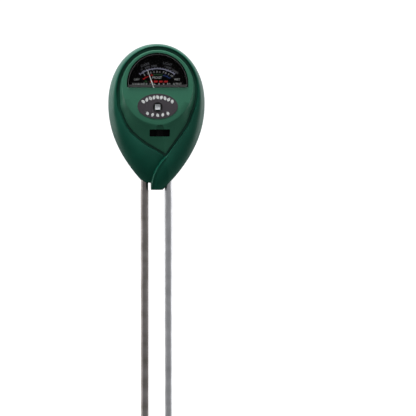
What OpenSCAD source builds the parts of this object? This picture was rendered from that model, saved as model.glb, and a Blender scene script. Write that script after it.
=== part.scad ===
// Three-way soil meter: an egg-shaped head with a needle dial, a light cell, a three-place switch
// and two long metal probes. X runs across the head, the front faces -Y and Z runs up.
// The origin is the middle of the flat end of the neck, between the probes.

/* [Head] */
// Widest width of the head
head_w = 65; // [64:0.5:66]
// Depth of the rear shell behind the parting plane
rear_depth = 15; // [14:0.5:17]
// Height of the flat face disc in front of the parting plane
face_h = 18; // [17.8:0.1:18.4]
// Wall thickness of the mouldings
wall = 2.2; // [2:0.1:2.4]
// Width of the dark groove round the face panel
groove_w = 2.1; // [1.6:0.1:2.2]

/* [Window] */
// Radius of the round part of the window
window_r = 20.5; // [20:0.1:20.6]
// Height of the window's centre
window_z = 71.35; // [71:0.05:71.6]
// Height of the window's straight lower edge
window_flat_z = 68.7; // [68.4:0.1:69]

/* [Movement] */
// Height of the needle's pivot
pivot_z = 61.6; // [61.4:0.1:61.8]
// Length of the needle from its pivot
needle_len = 20; // [19:0.1:21]
// Needle angle from upright in the stored pose, minus is to the left
needle_rest = -19.2; // [-30:0.1:30]

/* [Switch] */
// Height of the switch slot's centre
switch_z = 38.4; // [38:0.1:38.6]
// Distance of the switch slot's centre to the right of the middle
switch_x = 1.5; // [1.3:0.1:1.7]
// Length of the switch slot
slot_l = 13.6; // [13.2:0.1:13.8]
// Height of the switch slot
slot_h = 4.8; // [4.4:0.1:5]

/* [Light cell] */
// Height of the light cell's centre
cell_z = 55.8; // [55.5:0.1:56]
// Radius of the hole over the light cell
cell_hole_r = 2.8; // [2.6:0.1:3]

/* [Probes] */
// Distance between the probes' centres
probe_pitch = 16.1; // [15.9:0.1:16.3]
// Radius of a probe
probe_r = 2.65; // [2.5:0.05:2.7]
// Depth of the probe tips below the neck's end
probe_reach = 195; // [150:5:220]

/* [Hidden] */

$fn = 48;
tiny = 0.01;

// Outline of the head: its widest height, its reach above and below that, and the curves' powers
wide_z = 58;
reach_up = 40.2;
reach_down = 62;
power_up = 2.07;
power_down = 2.1;
// Every direction round the head is an angle clockwise from upright about this height
centre_z = 65.9;
// Groove line: its oval's reach to the side and up, a fuller place at the lower left, and the
// distances and facing angles of the two lines below, which meet at the vee
oval_side = 26.2;
oval_up = 29;
fuller = 1;
fuller_angle = 246;
line_right = [29.15, 125.4];
line_left = [33.6, 210.3];
vee_angle = 172.25;
angles = [for (a = [0 : 5 : 355]) each a == 170 ? [a, vee_angle] : [a]];
spokes = len(angles);
petal_steps = 6;
dome_steps = 7;
dome_power = 2.4;
ledge_w = 2.8;
ledge_t = 2;
ledge_drop = 2.6;
panel_t = 1.8;
// Face disc
disc_w = 47.3;
disc_l = 50.3;
disc_z = 69.6;
// Case screws, as [x, z, top of the boss in the front shell]
case_fixings = [[20, 84, 11.9], [-20, 84, 11.9], [13.5, 30, 8.5], [-13.5, 30, 8.5]];
screw_floor = 5;
// Inside the neck
neck_floor = 7.5;
// Side view of the step where one petal stops short and the neck runs on
step_cut = [[-3.75, -10], [-3.75, 4.6], [-6.5, 5], [-14, 7.5], [-20, -10]];
clamp_z = 13;
clamp_h = 6;
// Probe holding
shank_r = probe_r - 0.2;
spigot_r = 2;
stud_r = 1.5;
tip_len = 12;
// Depths of the movement's layers, as distances in front of the parting plane
base_back = 0.8;
base_front = 2.6;
dial_front = 13.5;
dial_back = 13;
post_x = 13.2;
dial_post = [13.6, 66.3];
// How far joined shapes run into each other
bite = 0.6;
base_boss = [15.5, 53.5];
bridge_back = 15.1;
bridge_front = 15.9;
pivot_r = 0.3;
jewel_gap = 0.05;
yoke_back = 4.2;
yoke_front = 11.8;
core_r = 4.2;
// Light cell: front of its little board, and the floor of its frame
cell_back = 14.9;
cell_floor = 16.9;
// Circuit board
board_front = 4.6;
board_back = 3;
board_low = 25.5;
board_high = 47.5;
board_post = [8, 45.3];
pin_gap = 4.4;
// Thumb hollow over the switch slot
thumb_r = 5;
// Slide switch: top of its can, and its knob's flange
can_top = 9.7;
flange_back = 9.9;
flange_front = 10.4;

// ---- curves ----

function ease(u) = let (v = min(max(u, 0), 1)) v * v * (3 - 2 * v);
function mix(a, b, u) = a + (b - a) * u;

// Half the head's width at a height
function half_width(z) =
    z > wide_z
    ? head_w / 2 * pow(max(1 - pow(min((z - wide_z) / reach_up, 1), power_up), 0), 1 / power_up)
    : head_w / 2 * max(1 - pow(min((wide_z - z) / reach_down, 1), power_down), 0);

// Distance from the centre to the head's outline in a direction, found by halving
function edge_r(a, low = 20, high = 75, n = 18) =
    let (m = (low + high) / 2)
    n == 0 ? low
    : abs(m * sin(a)) < half_width(centre_z + m * cos(a)) ? edge_r(a, m, high, n - 1)
    : edge_r(a, low, m, n - 1);

function oval_r(a) =
    1 / sqrt(pow(sin(a) / oval_side, 2) + pow(cos(a) / oval_up, 2))
    + fuller * exp(-pow((a - fuller_angle) / 9, 2));
function line_r(a, line) = line[0] / max(cos(a - line[1]), 0.2);

// Groove line: an oval that runs into two nearly straight lines
function groove_r(a) =
    a < vee_angle + tiny
    ? mix(oval_r(a), line_r(a, line_right), ease((a - 119.7) / 22.3))
    : mix(line_r(a, line_left), oval_r(a), ease((a - 189) / 57.7));

// Height of the petals' lips beside the groove
function lip_h(a) = 12.2 + 4.3 * ease((centre_z + groove_r(a) * cos(a) - 24) / 71);

// Distance from the centre to the rim of the face disc
function disc_r(a) =
    let (
        side = disc_w / 2,
        up = disc_l / 2,
        off = disc_z - centre_z,
        p = pow(sin(a) / side, 2) + pow(cos(a) / up, 2),
        q = off * cos(a) / pow(up, 2),
        s = pow(off / up, 2) - 1
    )
    min((q + sqrt(q * q - p * s)) / p, groove_r(a) - groove_w / 2 - 0.6);

// Inside of the shells' walls, stopped above the neck's solid end
function inner_r(a) = min(edge_r(a) - wall, cos(a) < -0.5 ? (centre_z - neck_floor) / -cos(a) : 99);

// A point at a direction, a distance from the centre and a height in front of the parting plane
function at(a, r, h) = [r * sin(a), -h, centre_z + r * cos(a)];

// Side faces between rings of equal length
function ring_faces(rings, n) = [
    for (k = [0 : rings - 2], i = [0 : n - 1])
        let (j = (i + 1) % n)
        each [[k * n + i, k * n + j, (k + 1) * n + i], [k * n + j, (k + 1) * n + j, (k + 1) * n + i]]
];

// Closed solid through rings whose first and last are closed by a fan to a pole
module poled(rings, first, last) {
    n = len(rings[0]);
    m = len(rings);
    points = concat([for (ring = rings) each ring], [first, last]);
    caps = [for (i = [0 : n - 1]) let (j = (i + 1) % n) each [[m * n, j, i],
        [m * n + 1, (m - 1) * n + i, (m - 1) * n + j]]];
    polyhedron(points, concat(ring_faces(m, n), caps));
}

// Closed ring-shaped solid: the last ring joins the first
module looped(rings) {
    n = len(rings[0]);
    points = [for (ring = concat(rings, [rings[0]])) each ring];
    count = len(rings) * n;
    polyhedron([for (i = [0 : count - 1]) points[i]],
        [for (f = ring_faces(len(rings) + 1, n)) [for (i = f) i % count]]);
}

// A round wire swept along a list of points, with eight sides
module wire(path, r) {
    sides = 8;
    n = len(path);
    function along(i) = let (d = path[min(i + 1, n - 1)] - path[max(i - 1, 0)]) d / norm(d);
    function across(d) = let (c = cross(d, abs(d[0]) > 0.9 ? [0, 0, 1] : [1, 0, 0])) c / norm(c);
    rings = [for (i = [0 : n - 1])
        let (d = along(i), u = across(d), v = cross(d, u))
        [for (k = [0 : sides - 1]) path[i] + r * (u * cos(k * 45) + v * sin(k * 45))]];
    poled([for (i = [n - 1 : -1 : 0]) rings[i]], path[n - 1], path[0]);
}

// Points of a smooth curve with two control points
function bend(p, q, r, s, n = 8) = [
    for (i = [0 : n])
        let (u = i / n, v = 1 - u)
        v * v * v * p + 3 * v * v * u * q + 3 * v * u * u * r + u * u * u * s
];

// A cylinder along Y between two heights in front of the parting plane
module rod(x, z, r, from, to) {
    translate([x, -from, z]) rotate([90, 0, 0]) cylinder(r = r, h = to - from);
}

// A block between two heights in front of the parting plane
module block(x, z, w, l, from, to) {
    translate([x - w / 2, -to, z - l / 2]) cube([w, to - from, l]);
}

// A flat outline drawn in X and Z, given thickness between two heights
module sheet(from, to) {
    translate([0, -from, 0]) rotate([90, 0, 0]) linear_extrude(to - from) children();
}

// Round outline cut off straight at the foot
module dee(r, flat_z) {
    difference() {
        translate([0, window_z]) circle(r, $fn = 96);
        translate([-r - 1, flat_z - 2 * r]) square([2 * r + 2, 2 * r]);
    }
}

module neck_cut() {
    translate([-20, -25, -10]) cube([40, 50, 10]);
    sheet(-25, 25) polygon(step_cut);
}

module probe_ways() {
    for (side = [-1, 1])
        translate([side * probe_pitch / 2, 0, -6]) cylinder(r = probe_r + 0.25, h = 20);
}

module at_pair(place) {
    for (side = [-1, 1])
        translate([side * place[0], 0, place[1]]) children();
}

module swung() {
    translate([0, 0, pivot_z]) rotate([0, needle_rest, 0]) children();
}

// ---- housing ----

module front_shell() color([0.13, 0.34, 0.29]) {
    petal = [for (k = [0 : petal_steps])
        let (s = 90 * k / petal_steps)
        [for (a = angles)
            let (lip = groove_r(a) + groove_w / 2)
            at(a, mix(lip, edge_r(a), cos(s)), lip_h(a) * sin(s))]];
    ledge = [
        [for (a = angles) at(a, groove_r(a) + groove_w / 2, lip_h(a) - ledge_drop)],
        [for (a = angles) at(a, groove_r(a) - ledge_w, lip_h(a) - ledge_drop)],
        [for (a = angles) at(a, groove_r(a) - ledge_w, lip_h(a) - ledge_drop - ledge_t)]
    ];
    inside = [for (k = [petal_steps - 1 : -1 : 0])
        let (s = 90 * k / petal_steps)
        [for (a = angles)
            at(a, mix(groove_r(a) - ledge_w, inner_r(a), cos(s)),
                (lip_h(a) - ledge_drop - ledge_t) * sin(s))]];
    difference() {
        union() {
            looped(concat(petal, ledge, inside));
            for (f = case_fixings)
                rod(f[0], f[1], 3, 0, f[2]);
        }
        for (f = case_fixings)
            rod(f[0], f[1], 1.05, -tiny, 7.6);
        probe_ways();
        neck_cut();
    }
}

function dome_rings(inset) = [
    for (k = [dome_steps - 1 : -1 : 0])
        let (s = 90 * k / dome_steps, p = 2 / dome_power)
        [for (a = angles)
            at(a, (inset > 0 ? inner_r(a) : edge_r(a)) * pow(cos(s), p),
                -(rear_depth - inset) * pow(sin(s), p))]
];

module rear_shell() color([0.12, 0.32, 0.27]) {
    outside = dome_rings(0);
    inside = dome_rings(wall);
    last = dome_steps - 1;
    difference() {
        union() {
            poled(concat(outside, [for (k = [last : -1 : 0]) inside[k]]),
                [0, rear_depth, centre_z], [0, rear_depth - wall, centre_z]);
            intersection() {
                poled(outside, [0, rear_depth, centre_z], [0, -3, centre_z]);
                for (f = case_fixings)
                    rod(f[0], f[1], 3.6, -rear_depth - 2, 0);
            }
        }
        for (f = case_fixings) {
            rod(f[0], f[1], 1.3, -rear_depth, 2);
            rod(f[0], f[1], 2.4, -rear_depth - 2, -screw_floor);
        }
        probe_ways();
        neck_cut();
    }
}

module case_screws() color([0.55, 0.55, 0.57])
    for (f = case_fixings)
        difference() {
            union() {
                rod(f[0], f[1], 2.2, -screw_floor - 1.6, -screw_floor);
                rod(f[0], f[1], 1, -screw_floor - bite, 7);
            }
            block(f[0], f[1], 2.8, 0.7, -screw_floor - 2, -screw_floor - 0.8);
            block(f[0], f[1], 0.7, 2.8, -screw_floor - 2, -screw_floor - 0.8);
        }

module face_panel() color([0.24, 0.45, 0.38]) {
    edge = [for (a = angles) groove_r(a) - groove_w / 2];
    rim = [for (a = angles) lip_h(a) - 0.2];
    n = spokes - 1;
    top = [for (k = [0 : 2])
        [for (i = [0 : n]) at(angles[i], mix(edge[i], disc_r(angles[i]), k / 2),
            mix(rim[i], face_h, k / 2))]];
    under = [
        [for (i = [0 : n]) at(angles[i], disc_r(angles[i]) - 1, face_h - panel_t)],
        [for (i = [0 : n]) at(angles[i], edge[i], rim[i] - ledge_drop + 0.3)]
    ];
    difference() {
        union() {
            poled(concat(under, top), [0, panel_t - face_h, centre_z], [0, -face_h, centre_z]);
            at_pair(base_boss) rod(0, 0, 2.2, base_front, face_h - panel_t + 0.3);
            at_pair(board_post) rod(0, 0, 1.6, board_front, face_h - 2.5);
            at_pair([5.6, cell_z - 0.8]) rod(0, 0, 0.9, cell_back, face_h - panel_t + 0.3);
        }
        sheet(10, 25) dee(window_r, window_flat_z);
        rod(0, cell_z, cell_hole_r, 10, 25);
        block(switch_x, switch_z, slot_l, slot_h, 10, 25);
        translate([switch_x, -20.5, switch_z + 1.2]) sphere(r = thumb_r, $fn = 64);
        at_pair(base_boss) rod(0, 0, 0.85, base_front - 1, 11);
        at_pair(board_post) rod(0, 0, 0.75, board_front - 1, 10);
    }
}

module label_plate() color([0.12, 0.12, 0.13])
    sheet(face_h, face_h + 0.3)
        difference() {
            translate([0, 56.3]) polygon([for (a = [0 : 5 : 355]) [13.5 * cos(a), 8.4 * sin(a)]]);
            translate([0, cell_z]) circle(cell_hole_r + 0.05);
        }

module sensor_ring() color([0.05, 0.05, 0.05])
    difference() {
        union() {
            rod(0, cell_z, cell_hole_r - 0.02, 16.4, face_h + 0.4);
            rod(0, cell_z, cell_hole_r + 0.4, face_h + 0.3, face_h + 0.6);
        }
        rod(0, cell_z, cell_hole_r - 0.2, 16, face_h + 1);
    }

module window_cover() color([0.8, 0.85, 0.88, 0.35])
    difference() {
        union() {
            sheet(16, face_h + 0.8) dee(window_r - 0.08, window_flat_z + 0.08);
            sheet(15.4, 16.1) dee(window_r + 0.4, window_flat_z - 1);
        }
        sheet(15, face_h - 0.4) dee(window_r - 1.2, window_flat_z + 1.1);
    }

// ---- movement, fixed pieces ----

module meter_base() color([0.75, 0.74, 0.70])
    difference() {
        union() {
            rod(0, pivot_z, 16.55, base_back, base_front);
            rod(0, pivot_z, 11, base_front - bite, yoke_back);
            at_pair(base_boss) rod(0, 0, 3, base_back, base_front);
            at_pair([post_x, pivot_z]) rod(0, 0, 1.6, base_front - bite, bridge_back);
            at_pair(dial_post) rod(0, 0, 1.7, base_front - bite, dial_back);
        }
        rod(0, pivot_z, 8, base_front, yoke_back + 1);
        rod(0, pivot_z, 1.4, 0, 5);
        at_pair(base_boss) rod(0, 0, 1.05, 0, 5);
        at_pair([post_x, pivot_z]) rod(0, 0, 0.65, 9, 16);
        at_pair(dial_post) rod(0, 0, 0.65, 8, 16);
    }

module headed_screw(shank_r, shank_from, seat, head_r, head_t) {
    rod(0, 0, shank_r, shank_from, seat + head_t / 4);
    difference() {
        rod(0, 0, head_r, seat, seat + head_t);
        block(0, 0, 2 * head_r + 1, 0.3, seat + head_t / 2, seat + head_t + 1);
    }
}

// The same screw, driven from behind
module back_screw(shank_r, shank_to, seat, head_r, head_t) {
    mirror([0, 1, 0]) headed_screw(shank_r, -shank_to, -seat, head_r, head_t);
}

module base_screws() color([0.6, 0.6, 0.62])
    at_pair(base_boss) back_screw(0.8, 9, base_back, 2, 1.1);

module dial_plate() color([0.02, 0.02, 0.02])
    difference() {
        sheet(dial_back, dial_front) dee(20.4, 64.5);
        at_pair(dial_post) rod(0, 0, 0.75, 10, 16);
        at_pair([4.34, 66.4]) rod(0, 0, 0.52, 10, 16);
    }

module dial_screws() color([0.7, 0.7, 0.7])
    at_pair(dial_post) headed_screw(0.6, 9, dial_front, 1.3, 0.5);

module stop_pins() color([0.7, 0.65, 0.5])
    at_pair([4.34, 66.4]) rod(0, 0, 0.5, dial_back - 0.4, 15.2);

module yoke_ring() color([0.45, 0.46, 0.48])
    difference() {
        rod(0, pivot_z, 11, yoke_back, yoke_front);
        rod(0, pivot_z, 6.9, yoke_back - 1, yoke_front + 1);
        translate([0, -8, pivot_z - 12]) cylinder(r = 1.05, h = 24);
    }

module core_magnet() color([0.35, 0.35, 0.37])
    difference() {
        rod(0, pivot_z, core_r, 4.6, 11.4);
        translate([0, -8, pivot_z - 6]) cylinder(r = 0.8, h = 12);
    }

module core_screws() color([0.72, 0.6, 0.3])
    for (up = [-1, 1])
        translate([0, -8, pivot_z])
            rotate([up > 0 ? 0 : 180, 0, 0]) {
                translate([0, 0, 2.5]) cylinder(r = 0.78, h = 4.5);
                translate([0, 0, 6.9]) cylinder(r = 1, h = 4.1);
                translate([0, 0, core_r + 0.05]) cylinder(r = 1.3, h = 0.8);
            }

module front_bridge() color([0.8, 0.66, 0.35])
    difference() {
        block(0, pivot_z, 30, 3.2, bridge_back, bridge_front);
        rod(0, pivot_z, 1.25, 14, 17);
        at_pair([post_x, pivot_z]) rod(0, 0, 0.75, 14, 17);
    }

module bridge_screws() color([0.7, 0.7, 0.7])
    at_pair([post_x, pivot_z]) headed_screw(0.6, 10, bridge_front, 1.25, 0.25);

module jewel(r, open_from, open_to, from, to) {
    difference() {
        rod(0, pivot_z, r, from, to);
        rod(0, pivot_z, pivot_r + jewel_gap, open_from, open_to);
    }
}

module front_jewel() color([0.75, 0.1, 0.2])
    jewel(1.22, 14, 15.3, 14.75, 16.05);

module rear_jewel() color([0.75, 0.1, 0.2])
    jewel(1.38, 1.7, 4, 0.9, 2.6);

// A flat spiral of spring strip, in the X and Z plane about the pivot
module spiral(from, to) {
    turns = 3.5;
    steps = 84;
    function r_at(i) = 1.1 + 4 * i / steps;
    function spot(i, off) = (r_at(i) + off) * [cos(360 * turns * i / steps), sin(360 * turns * i / steps)];
    translate([0, 0, pivot_z])
        sheet(from, to)
            polygon(concat([for (i = [0 : steps]) spot(i, 0.08)],
                [for (i = [steps : -1 : 0]) spot(i, -0.08)]));
}

module front_hairspring() color([0.8, 0.65, 0.3]) spiral(13.6, 14);

module rear_hairspring() color([0.8, 0.65, 0.3]) spiral(2.8, 3.2);

module zero_lever() color([0.8, 0.66, 0.35])
    translate([0, 0, pivot_z])
        rotate([0, -90, 0])
            difference() {
                union() {
                    rod(0, 0, 2.5, 14.8, 15);
                    block(0, 3.8, 0.8, 4.2, 14.8, 15);
                    rod(0, 5.6, 0.3, 13.6, 14.9);
                }
                rod(0, 0, 1.3, 14, 16);
            }

// ---- movement, swinging pieces ----

module spindle() color([0.6, 0.6, 0.62])
    translate([0, 0, pivot_z])
        for (stretch = [[12.6, 15.2], [1.9, 3.4]])
            rod(0, 0, pivot_r, stretch[0], stretch[1]);

module coil_frame(inner, outer, wide, front, back, thick) {
    difference() {
        block(0, 0, 2 * outer, wide, back, front);
        block(0, 0, 2 * inner, wide + 1, back + thick, front - thick);
    }
}

module coil_former() color([0.75, 0.76, 0.78])
    swung()
        coil_frame(4.7, 5.1, 3, 12.6, 3.4, 0.5);

module coil_winding() color([0.7, 0.35, 0.15])
    swung()
        for (side = [-1, 1])
            block(side * 5.65, 0, 1.06, 2.6, 3.8, 12.2);

module pointer() color([0.95, 0.95, 0.95])
    swung()
        difference() {
            union() {
                rod(0, 0, 0.95, 14.2, 14.6);
                sheet(14.25, 14.55) polygon([[-0.42, 0], [-0.16, needle_len], [0.16, needle_len], [0.42, 0]]);
            }
            rod(0, 0, pivot_r + tiny, 14, 15);
        }

module balance_weights() color([0.75, 0.75, 0.75])
    swung()
        for (a = [90, 180, 270])
            rotate([0, a, 0]) {
                block(0, 1.9, 0.3, 1.9, 14.3, 14.5);
                translate([0, -14.4, 2.1]) cylinder(r = 0.28, h = 1.2);
            }

// ---- light cell ----

module photocell_board() color([0.15, 0.3, 0.2])
    difference() {
        block(0, cell_z - 0.9, 13.2, 5.9, cell_back - 0.5, cell_back);
        at_pair([1.3, cell_z - 3]) rod(0, 0, 0.3, 14, 15.5);
    }

module photocell_frame() color([0.92, 0.92, 0.9])
    difference() {
        block(0, cell_z, 3.6, 3.6, cell_back, 17.8);
        block(0, cell_z, 2.4, 2.4, cell_floor, 19);
    }

module photocell_die() color([0.25, 0.2, 0.2])
    block(0, cell_z, 2.2, 2.2, cell_floor, cell_floor + 0.3);

// ---- switch and circuit ----

module switch_knob() color([0.03, 0.03, 0.03])
    difference() {
        union() {
            block(switch_x, switch_z, 13.4, 5.6, flange_back, flange_front);
            block(switch_x, switch_z, 4.2, 4.2, flange_front - bite, 15.4);
            block(switch_x, switch_z, 2.6, 1.8, 7.1, flange_front);
        }
        for (k = [-1 : 1])
            block(switch_x + k * 1.3, switch_z, 0.5, 5, 15, 16);
    }

module switch_contact() color([0.8, 0.65, 0.3])
    block(switch_x, switch_z, 5, 3, 6.5, 7.1);

module switch_body() color([0.7, 0.71, 0.72])
    difference() {
        block(switch_x, switch_z, 15.4, 6.6, board_front, can_top);
        block(switch_x, switch_z, 14.2, 5.4, board_front + 0.6, can_top - 0.6);
        block(switch_x, switch_z, 10.4, 2.4, 8, 12);
    }

module switch_pins() color([0.8, 0.8, 0.8])
    for (k = [-1.5 : 1.5], row = [-1, 1])
        translate([switch_x + k * pin_gap, 0, switch_z + row * 2.4]) rod(0, 0, 0.4, 1.8, board_front);

module circuit_board() color([0.65, 0.5, 0.25])
    difference() {
        block(0, (board_low + board_high) / 2, 20, board_high - board_low, board_back, board_front);
        at_pair(board_post) rod(0, 0, 0.9, 0, 9);
        for (k = [-1.5 : 1.5], row = [-1, 1])
            translate([switch_x + k * pin_gap, 0, switch_z + row * 2.4]) rod(0, 0, 0.5, 0, 9);
    }

module board_screws() color([0.6, 0.6, 0.62])
    at_pair(board_post) back_screw(0.7, 9, board_back, 1.5, 1);

module trim_resistor() color([0.15, 0.25, 0.6])
    difference() {
        union() {
            block(4.5, 30, 6, 6, board_front, board_front + 1.8);
            rod(4.5, 30, 2.2, board_front + 1.7, board_front + 2.4);
        }
        block(4.5, 30, 3, 0.6, board_front + 2, board_front + 3);
    }

module resistors() color([0.8, 0.7, 0.5])
    for (z = [28.2, 30.8, 33.4])
        translate([-5, -1.9, z]) rotate([0, 90, 0]) {
            translate([0, 0, -3]) cylinder(r = 1, h = 6);
            translate([0, 0, -4]) cylinder(r = 0.3, h = 8);
            for (end = [-4, 3.4])
                translate([-0.3, -1.1, end]) cube([0.6, 1.1, 0.6]);
        }

// ---- probes ----

module probe_clamp() color([0.8, 0.78, 0.72])
    difference() {
        translate([-10.8, -3, clamp_z]) cube([21.6, 6.6, clamp_h]);
        for (side = [-1, 1])
            translate([side * probe_pitch / 2, 0, clamp_z - 1]) cylinder(r = spigot_r + 0.05, h = clamp_h + 2);
    }

module probe(side) {
    translate([side * probe_pitch / 2, 0, 0]) {
        translate([0, 0, -probe_reach]) cylinder(r1 = 0.5, r2 = probe_r, h = tip_len);
        translate([0, 0, tip_len - probe_reach - tiny]) cylinder(r = probe_r, h = probe_reach - tip_len + tiny);
        translate([0, 0, -bite]) cylinder(r = shank_r, h = clamp_z + bite);
        translate([0, 0, clamp_z - bite]) cylinder(r = spigot_r, h = clamp_h + bite);
        translate([0, 0, clamp_z + clamp_h - bite]) cylinder(r = stud_r, h = 5 + bite);
    }
}

module left_probe() color([0.62, 0.6, 0.58]) probe(-1);

module right_probe() color([0.7, 0.7, 0.71]) probe(1);

module probe_tags() color([0.8, 0.66, 0.35])
    for (side = [-1, 1])
        translate([side * probe_pitch / 2, 0, clamp_z + clamp_h])
            difference() {
                union() {
                    cylinder(r = 3.2, h = 0.6);
                    translate([-1, 2, 0]) cube([2, 3, 0.6]);
                }
                translate([0, 0, -1]) cylinder(r = stud_r + 0.05, h = 3);
            }

module probe_nuts() color([0.7, 0.7, 0.7])
    for (side = [-1, 1])
        translate([side * probe_pitch / 2, 0, clamp_z + clamp_h + 0.65])
            difference() {
                cylinder(r = 3, h = 2.4, $fn = 6);
                translate([0, 0, -1]) cylinder(r = stud_r + 0.02, h = 5);
            }

// ---- wires held inside the head ----

module probe_wire(side) {
    wire(bend([side * 8.05, 4.6, 20.2], [side * 8.05, 5.5, 23], [side * 6, 2, 25], [side * 6.5, -2.4, 26.6]), 0.5);
}

module left_probe_wire() color([0.1, 0.1, 0.1]) probe_wire(-1);

module right_probe_wire() color([0.75, 0.1, 0.1]) probe_wire(1);

module meter_wire(side) {
    wire(bend([side * 5, -0.3, 54], [side * 5, 3, 50], [side * 3.5, 2.5, 43.5], [side * 3.5, -2.4, 43]), 0.5);
}

module meter_wire_red() color([0.75, 0.1, 0.1]) meter_wire(1);

module meter_wire_black() color([0.1, 0.1, 0.1]) meter_wire(-1);

module cell_wire(side) {
    wire(bend([side * 1.3, -14.2, cell_z - 3], [side * 1.3, -12.8, 45.5], [side * 1.8, -9, 48.5],
        [side * 2.2, -5.2, 45.5]), 0.4);
}

module cell_wire_red() color([0.75, 0.1, 0.1]) cell_wire(1);

module cell_wire_black() color([0.1, 0.1, 0.1]) cell_wire(-1);

front_shell();
face_panel();
rear_shell();
case_screws();
label_plate();
sensor_ring();
window_cover();
meter_base();
base_screws();
dial_plate();
dial_screws();
stop_pins();
yoke_ring();
core_magnet();
core_screws();
front_bridge();
bridge_screws();
front_jewel();
rear_jewel();
front_hairspring();
rear_hairspring();
zero_lever();
spindle();
coil_former();
coil_winding();
pointer();
balance_weights();
photocell_board();
photocell_frame();
photocell_die();
switch_knob();
switch_contact();
switch_body();
switch_pins();
circuit_board();
board_screws();
trim_resistor();
resistors();
probe_clamp();
left_probe();
right_probe();
probe_tags();
probe_nuts();
left_probe_wire();
right_probe_wire();
meter_wire_red();
meter_wire_black();
cell_wire_red();
cell_wire_black();
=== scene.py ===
import math

import bmesh
import bpy
import numpy as np
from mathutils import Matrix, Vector


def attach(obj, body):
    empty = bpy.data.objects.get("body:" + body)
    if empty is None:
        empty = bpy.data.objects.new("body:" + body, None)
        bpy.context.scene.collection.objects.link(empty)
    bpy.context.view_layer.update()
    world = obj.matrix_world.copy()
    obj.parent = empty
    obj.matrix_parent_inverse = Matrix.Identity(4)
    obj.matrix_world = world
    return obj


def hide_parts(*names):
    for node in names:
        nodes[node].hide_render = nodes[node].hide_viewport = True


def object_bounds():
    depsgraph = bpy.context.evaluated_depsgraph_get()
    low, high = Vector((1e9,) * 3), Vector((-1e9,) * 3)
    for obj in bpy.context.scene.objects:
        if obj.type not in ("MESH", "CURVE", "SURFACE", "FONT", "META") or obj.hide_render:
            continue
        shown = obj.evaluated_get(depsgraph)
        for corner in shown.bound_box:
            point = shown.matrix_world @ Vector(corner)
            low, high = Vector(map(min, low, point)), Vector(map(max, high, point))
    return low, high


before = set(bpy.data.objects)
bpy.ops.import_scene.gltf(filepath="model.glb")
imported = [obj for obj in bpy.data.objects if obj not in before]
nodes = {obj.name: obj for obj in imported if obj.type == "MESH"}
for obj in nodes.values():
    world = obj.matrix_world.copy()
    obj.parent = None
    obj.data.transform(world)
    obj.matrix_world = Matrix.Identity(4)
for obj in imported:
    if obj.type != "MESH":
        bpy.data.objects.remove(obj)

cad_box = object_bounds()


# ---- Studio ---------------------------------------------------------------------------------
# A long lens a couple of metres away, level with the head and a few degrees round to its left,
# so that the probes run out at the foot of the picture and the head sits left of the middle.
# The light is one large soft lamp high in front and a weaker one at each side, a little behind,
# in a room that is bright behind, dimmer in front and dark below, so that rounded edges shine.
MM = 0.001
LOOK_AT = Vector((34.8, 0, -12.4)) * MM
CAMERA_AWAY = 2.0
CAMERA_TURN = math.radians(-3.6)
CAMERA_HEIGHT = 55 * MM
VIEW_WIDTH = 280.8 * MM

camera_data = bpy.data.cameras.new("camera")
camera_data.lens = camera_data.sensor_width * CAMERA_AWAY / VIEW_WIDTH
camera_data.clip_start = 0.05
camera = bpy.data.objects.new("camera", camera_data)
camera.location = (
    LOOK_AT.x + CAMERA_AWAY * math.sin(CAMERA_TURN),
    LOOK_AT.y - CAMERA_AWAY * math.cos(CAMERA_TURN),
    CAMERA_HEIGHT,
)
camera.rotation_euler = (LOOK_AT - camera.location).to_track_quat("-Z", "Y").to_euler()
bpy.context.scene.collection.objects.link(camera)
bpy.context.scene.camera = camera
bpy.context.scene.view_settings.view_transform = "Standard"


def softbox(name, place, aim, size, power):
    """A square area lamp of a size in metres, turned to face a point."""
    lamp = bpy.data.lights.new(name, "AREA")
    lamp.size = size
    lamp.energy = power
    box = bpy.data.objects.new(name, lamp)
    box.location = place
    box.rotation_euler = (Vector(aim) - Vector(place)).to_track_quat("-Z", "Y").to_euler()
    bpy.context.scene.collection.objects.link(box)


HEAD_MIDDLE = (0, 0, 0.05)
softbox("key_above", (-0.2, -0.38, 1.25), HEAD_MIDDLE, 0.6, 24)
softbox("side_left", (-1, 0.35, 0), HEAD_MIDDLE, 0.9, 4.4)
softbox("side_right", (1, 0.35, 0), HEAD_MIDDLE, 0.9, 4)

world = bpy.data.worlds.new("studio_air")
world.use_nodes = True
air = world.node_tree
toward = air.nodes.new("ShaderNodeSeparateXYZ")
air.links.new(air.nodes.new("ShaderNodeTexCoord").outputs["Generated"], toward.inputs["Vector"])
brightness = air.nodes.new("ShaderNodeMath")
brightness.operation = "MULTIPLY"
for k, (axis, limits) in enumerate((("Z", (-0.45, 0.05, 0.15, 1)), ("Y", (-0.6, 0.1, 0.5, 1)))):
    spread = air.nodes.new("ShaderNodeMapRange")
    for key, value in zip(("From Min", "From Max", "To Min", "To Max"), limits):
        spread.inputs[key].default_value = value
    air.links.new(toward.outputs[axis], spread.inputs["Value"])
    air.links.new(spread.outputs["Result"], brightness.inputs[k])
air.links.new(brightness.outputs["Value"], air.nodes["Background"].inputs["Strength"])
air.nodes["Background"].inputs["Color"].default_value = (0.96, 0.98, 1, 1)
bpy.context.scene.world = world


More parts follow.
